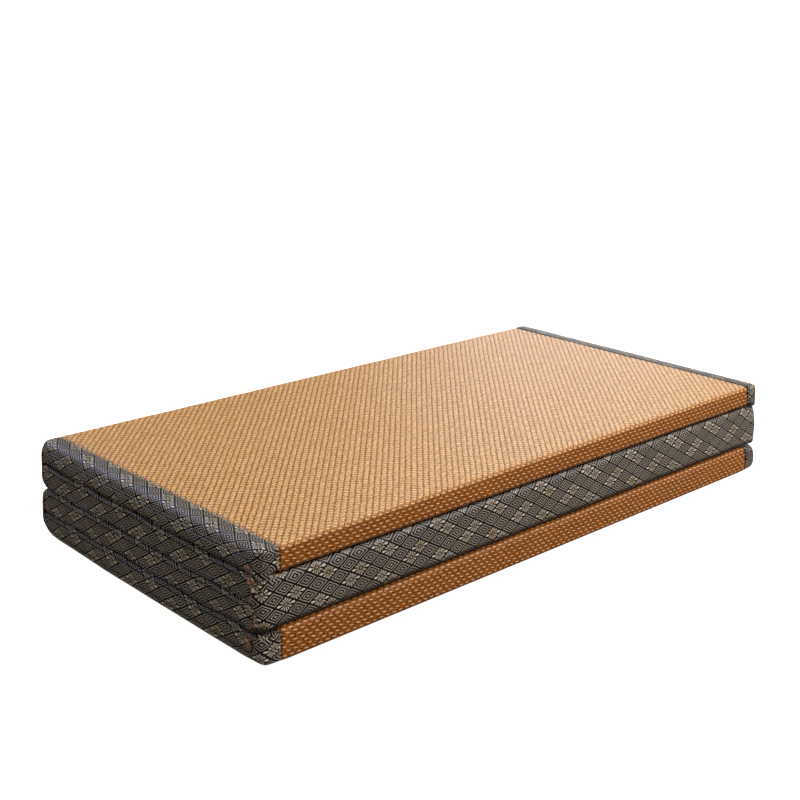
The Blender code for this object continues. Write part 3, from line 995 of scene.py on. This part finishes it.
def make_edge_stitches(number, side):
    """Thread stitches along the seam between rush and binding, as one mesh of small ellipsoids.

    Each stitch's long axis leans across the seam. Its points are the ellipsoid's, turned to the
    surface at its place.
    """
    s = sizes()
    form = pad_form(number)
    knots = ring_knots(form)
    first, last = (knots[2], knots[5]) if number == TOP_PAD else (knots[1], knots[4])
    v = np.arange(first, last, s.weft)
    rng = np.random.default_rng(200 + 2 * number + (side > 0))
    jitter = rng.uniform(-1, 1, (len(v), 3))
    line = side * (form.end - s.reach + s.seam + STITCH_IN) + np.array([-0.5, 0.5]) * MM
    v = v + jitter[:, 0] * STITCH_SPREAD_ALONG
    here, after = (ring_points(form, line, STITCH_SUNK, v + on).mean(axis=0)
                   for on in (0.0, 0.2 * MM))
    along = after - here
    along /= np.linalg.norm(along, axis=1, keepdims=True)
    across = np.tile([1.0, 0.0, 0.0], (len(v), 1))
    place = here + jitter[:, 1:2] * STITCH_SPREAD_ACROSS * across
    up = np.cross(across, along)
    up *= np.sign(np.sum(up * (place - [0, 0, (form.low + form.top) / 2]), axis=1, keepdims=True))
    lean = STITCH_LEAN + STITCH_LEAN_SPREAD * jitter[:, 2:3]
    long_axis = across * np.cos(lean) + along * np.sin(lean)
    axes = np.stack([long_axis, np.cross(up, long_axis), up], axis=1)
    ball, ball_faces = stitch_ball()
    vertices = place[:, None] + np.einsum("pk,nkc->npc", ball, axes)
    faces = [[corner + n * len(ball) for corner in face] for n in range(len(v))
             for face in ball_faces]
    loops = sum(len(face) for face in faces)
    return make_piece(f"seam_stitches_{number}_{SIDES[side]}", vertices, faces,
                      np.zeros((loops, 2)), material(spun_thread))


# ---------------------------------------------------------------------------------------------
# The studio
# ---------------------------------------------------------------------------------------------

FLOOR_HALF = 600.0
STUDIO_CENTRE = (0.0, 0.0, 0.07)

# One row for each lamp: its place, watts, width and height in metres and colour, and whether it
# lights the surfaces too, or only shows in their gloss
Lamp = namedtuple("Lamp", "place power width height code lights")
LAMPS = {
    "key_softbox": Lamp((0.1, 0.6, 2.9), 26.0, 1.8, 1.4, "FFFAF2", True),
    "back_softbox": Lamp((2.7, 1.9, 0.95), 5.0, 1.9, 1.0, "F0F4FF", True),
    "front_softbox": Lamp((1.7, -1.8, 1.9), 68.0, 1.4, 1.0, "FFF6EC", True),
    # A cool strip light that only shows in highlights, along the left end's top edge
    "rim_softbox": Lamp((-0.6, 2.4, 1.9), 32.0, 2.2, 0.8, "C4D8FF", False),
    # and a second one for the far end's binding and the far part of the top
    "far_softbox": Lamp((2.9, 2.1, 0.95), 9.0, 1.2, 0.7, "F0F4FF", False),
}

# The camera that the stack's outlines and seams in the photo give
CAMERA_PLACE = (-1.1596, -1.2083, 0.6743)
CAMERA_YAW, CAMERA_PITCH, CAMERA_ROLL = -42.706, 17.577, 0.487  # degrees, pitch down
CAMERA_LENS, CAMERA_SENSOR = 58.783, 36.0  # millimetres


def make_floor(scene):
    """The pale floor that the stack stands on."""
    mesh = bpy.data.meshes.new("studio_floor")
    corners = [(x * FLOOR_HALF, y * FLOOR_HALF, 0) for x, y in ((-1, -1), (1, -1), (1, 1), (-1, 1))]
    mesh.from_pydata(corners, [], [(0, 1, 2, 3)])
    mesh.materials.append(material(painted_studio_floor))
    floor = bpy.data.objects.new("studio_floor", mesh)
    # It throws no light onto the mat, and its gloss doesn't mirror it
    floor.visible_diffuse = False
    floor.visible_glossy = False
    scene.collection.objects.link(floor)


def make_world(scene):
    """The studio's walls as a soft light all round."""
    world = bpy.data.worlds.new("studio_light")
    tree = emptied_tree(world)
    direction = add(tree, "SeparateXYZ", [add(tree, "TexCoord").outputs["Generated"]])
    level = add(tree, "MapRange", [direction.outputs["Z"], -0.10, 0.10, 0.20, 0.27], **STEP)
    # Behind the mat the studio is darker, so that the top keeps its colour on the left, and
    # the wall on the left throws light back onto the bindings
    behind = add(tree, "MapRange", [direction.outputs["Y"], 0.45, 0.85, 1.0, 0.2], **STEP)
    level = add(tree, "Math", [level, behind], operation="MULTIPLY")
    wall = add(tree, "MapRange", [direction.outputs["X"], -1.0, 0.0, 1.5, 1.0], **STEP)
    level = add(tree, "Math", [level, wall], operation="MULTIPLY")
    background = add(tree, "Background", {"Color": linear("FFF2E0"), "Strength": level})
    add(tree, "OutputWorld", {"Surface": background})
    scene.world = world


def make_lamps(scene):
    """Rectangular lamps that face the stack."""
    for name, row in LAMPS.items():
        lamp = bpy.data.lights.new(name, "AREA")
        lamp.shape = "RECTANGLE"
        lamp.size, lamp.size_y = row.width, row.height
        lamp.energy = row.power
        lamp.color = linear(row.code)[:3]
        made = bpy.data.objects.new(name, lamp)
        made.location = row.place
        facing = Vector(STUDIO_CENTRE) - Vector(row.place)
        made.rotation_euler = facing.to_track_quat("-Z", "Y").to_euler()
        made.visible_diffuse = row.lights
        scene.collection.objects.link(made)


def make_camera(scene):
    """The camera at the photo's place."""
    camera = bpy.data.cameras.new("camera")
    camera.sensor_width = CAMERA_SENSOR
    camera.lens = CAMERA_LENS
    camera.clip_start, camera.clip_end = 0.05, 2000.0
    made = bpy.data.objects.new("camera", camera)
    made.matrix_world = (Matrix.Translation(CAMERA_PLACE)
                         @ Matrix.Rotation(math.radians(CAMERA_YAW), 4, "Z")
                         @ Matrix.Rotation(QUARTER - math.radians(CAMERA_PITCH), 4, "X")
                         @ Matrix.Rotation(math.radians(CAMERA_ROLL), 4, "Z"))
    scene.collection.objects.link(made)
    scene.camera = made


# ---------------------------------------------------------------------------------------------
# Operators
# ---------------------------------------------------------------------------------------------

class TATAMI_OT_pads(bpy.types.Operator):
    """Make the four pads in their woven rush covers"""

    bl_idname = "tatami.pads"
    bl_label = "Woven pads"

    def execute(self, context):
        for number in PADS:
            make_pad(number)
        return {"FINISHED"}


class TATAMI_OT_end_bindings(bpy.types.Operator):
    """Make the brocade bindings over both ends of every pad"""

    bl_idname = "tatami.end_bindings"
    bl_label = "End bindings"

    def execute(self, context):
        for number in PADS:
            for side in SIDES:
                make_end_binding(number, side)
        return {"FINISHED"}


class TATAMI_OT_hinge_strips(bpy.types.Operator):
    """Make the brocade strips that join the pads at their long edges"""

    bl_idname = "tatami.hinge_strips"
    bl_label = "Hinge strips"

    def execute(self, context):
        for name, row in STRIPS.items():
            make_hinge_strip(name, *row)
        return {"FINISHED"}


class TATAMI_OT_stitches(bpy.types.Operator):
    """Make the thread stitches where the bindings are sewn to the rush"""

    bl_idname = "tatami.stitches"
    bl_label = "Seam stitches"

    def execute(self, context):
        for number in RUSH_SHOWS:
            for side in SIDES:
                make_edge_stitches(number, side)
        return {"FINISHED"}


class TATAMI_OT_stage(bpy.types.Operator):
    """Make the pale floor, the soft studio light and the camera"""

    bl_idname = "tatami.stage"
    bl_label = "Studio"

    def execute(self, context):
        context.scene.view_settings.view_transform = "Standard"
        for make in (make_floor, make_world, make_lamps, make_camera):
            make(context.scene)
        return {"FINISHED"}


class TATAMI_PT_panel(bpy.types.Panel):
    """Lists the mat's sizes, colours and operators"""

    bl_idname = "TATAMI_PT_panel"
    bl_label = "Folded tatami mat"
    bl_space_type = "VIEW_3D"
    bl_region_type = "UI"
    bl_category = "Tatami"

    def draw(self, context):
        layout = self.layout
        for group in (context.scene.tatami_sizes, context.scene.tatami_colours):
            for name in group.__annotations__:
                layout.prop(group, name)
        for operator in OPERATORS:
            layout.operator(operator.bl_idname)


OPERATORS = (TATAMI_OT_pads, TATAMI_OT_end_bindings, TATAMI_OT_hinge_strips, TATAMI_OT_stitches,
             TATAMI_OT_stage)
CLASSES = (TatamiSizes, TatamiColours, *OPERATORS, TATAMI_PT_panel)


def register():
    for made in CLASSES:
        bpy.utils.register_class(made)
    bpy.types.Scene.tatami_sizes = bpy.props.PointerProperty(type=TatamiSizes)
    bpy.types.Scene.tatami_colours = bpy.props.PointerProperty(type=TatamiColours)


def unregister():
    del bpy.types.Scene.tatami_colours
    del bpy.types.Scene.tatami_sizes
    for made in reversed(CLASSES):
        bpy.utils.unregister_class(made)


def main():
    register()
    for operator in OPERATORS:
        module, name = operator.bl_idname.split(".")
        getattr(getattr(bpy.ops, module), name)()


if __name__ == "__main__":
    main()
